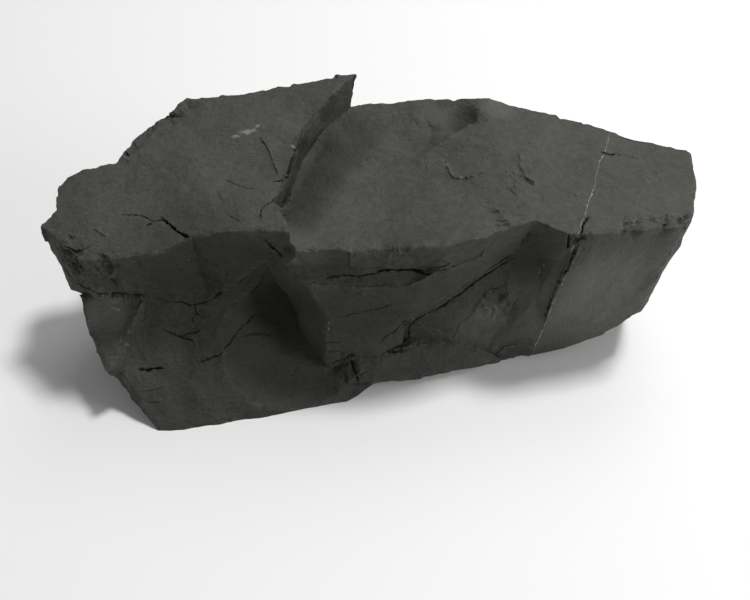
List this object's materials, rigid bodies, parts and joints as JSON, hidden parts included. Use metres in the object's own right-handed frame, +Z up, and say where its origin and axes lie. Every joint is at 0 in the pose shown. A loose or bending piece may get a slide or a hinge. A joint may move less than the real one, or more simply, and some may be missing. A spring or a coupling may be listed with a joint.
{
  "type": "coal lump",
  "caption": "Broken lump of dense, dull black coal with flat and shell-shaped fracture faces, a stepped top and a flat underside.",
  "frame": {"origin": "bottom centre of the lump's bounding box, on the surface it rests on", "axes": "+X along the length, from the high-stepped slab end to the pointed end; +Y from the broken front to the back; +Z up"},
  "size_m": [0.173, 0.0746, 0.0657],
  "materials": {
    "coal": "dull, dry, finely broken rock, near black with a faint green-grey cast"
  },
  "bodies": {
    "root": {"coal_lump": "coal"}
  },
  "joints": []
}
